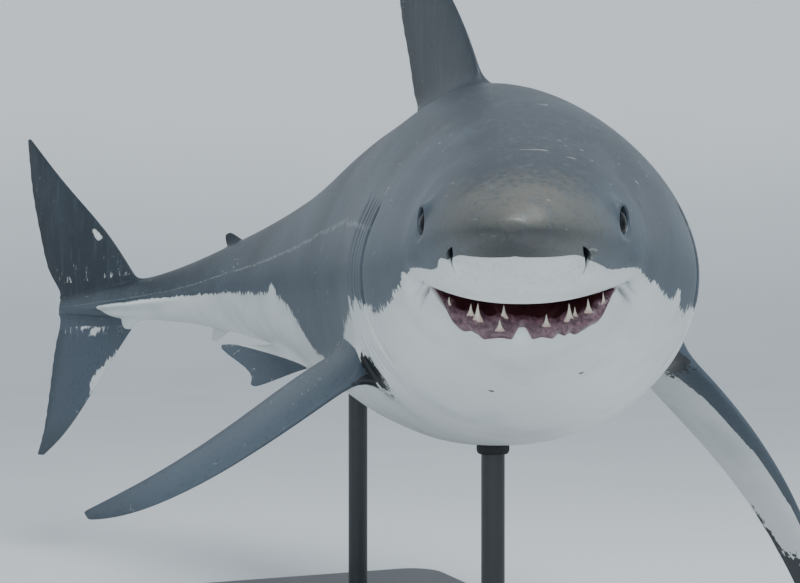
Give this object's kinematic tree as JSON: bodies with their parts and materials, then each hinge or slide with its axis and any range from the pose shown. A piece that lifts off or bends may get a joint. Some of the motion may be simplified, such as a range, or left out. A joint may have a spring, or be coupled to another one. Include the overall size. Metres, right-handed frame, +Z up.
{
  "type": "great white shark display model",
  "caption": "Life-size great white shark model, swimming in a slow turn with its jaws a little open, held over a flat base by upright rods.",
  "frame": {"origin": "middle of the whole model's box, on the floor", "axes": "+Z up, the snout towards -Y, the animal's left side at +X; the tail swings towards -X"},
  "size_m": [2.6476, 3.594, 2.0265],
  "materials": {
    "skin": "satin, slate grey above and off-white below",
    "eye": "polished, near black",
    "gum_and_teeth": "wet mauve gum with ivory teeth",
    "stand": "satin dark grey"
  },
  "bodies": {
    "root": {"head": "skin", "trunk_front": "skin", "trunk_rear": "skin", "tail_stock": "skin", "caudal_fin": "skin", "first_dorsal_fin": "skin", "second_dorsal_fin": "skin", "anal_fin": "skin", "pectoral_fin_left": "skin", "pectoral_fin_right": "skin", "pelvic_fin_left": "skin", "pelvic_fin_right": "skin", "eye_left": "eye", "eye_right": "eye", "lower_gum_teeth": "gum_and_teeth", "stand_base": "stand", "stand_rod_front": "stand", "stand_rod_rear": "stand"}
  },
  "joints": []
}
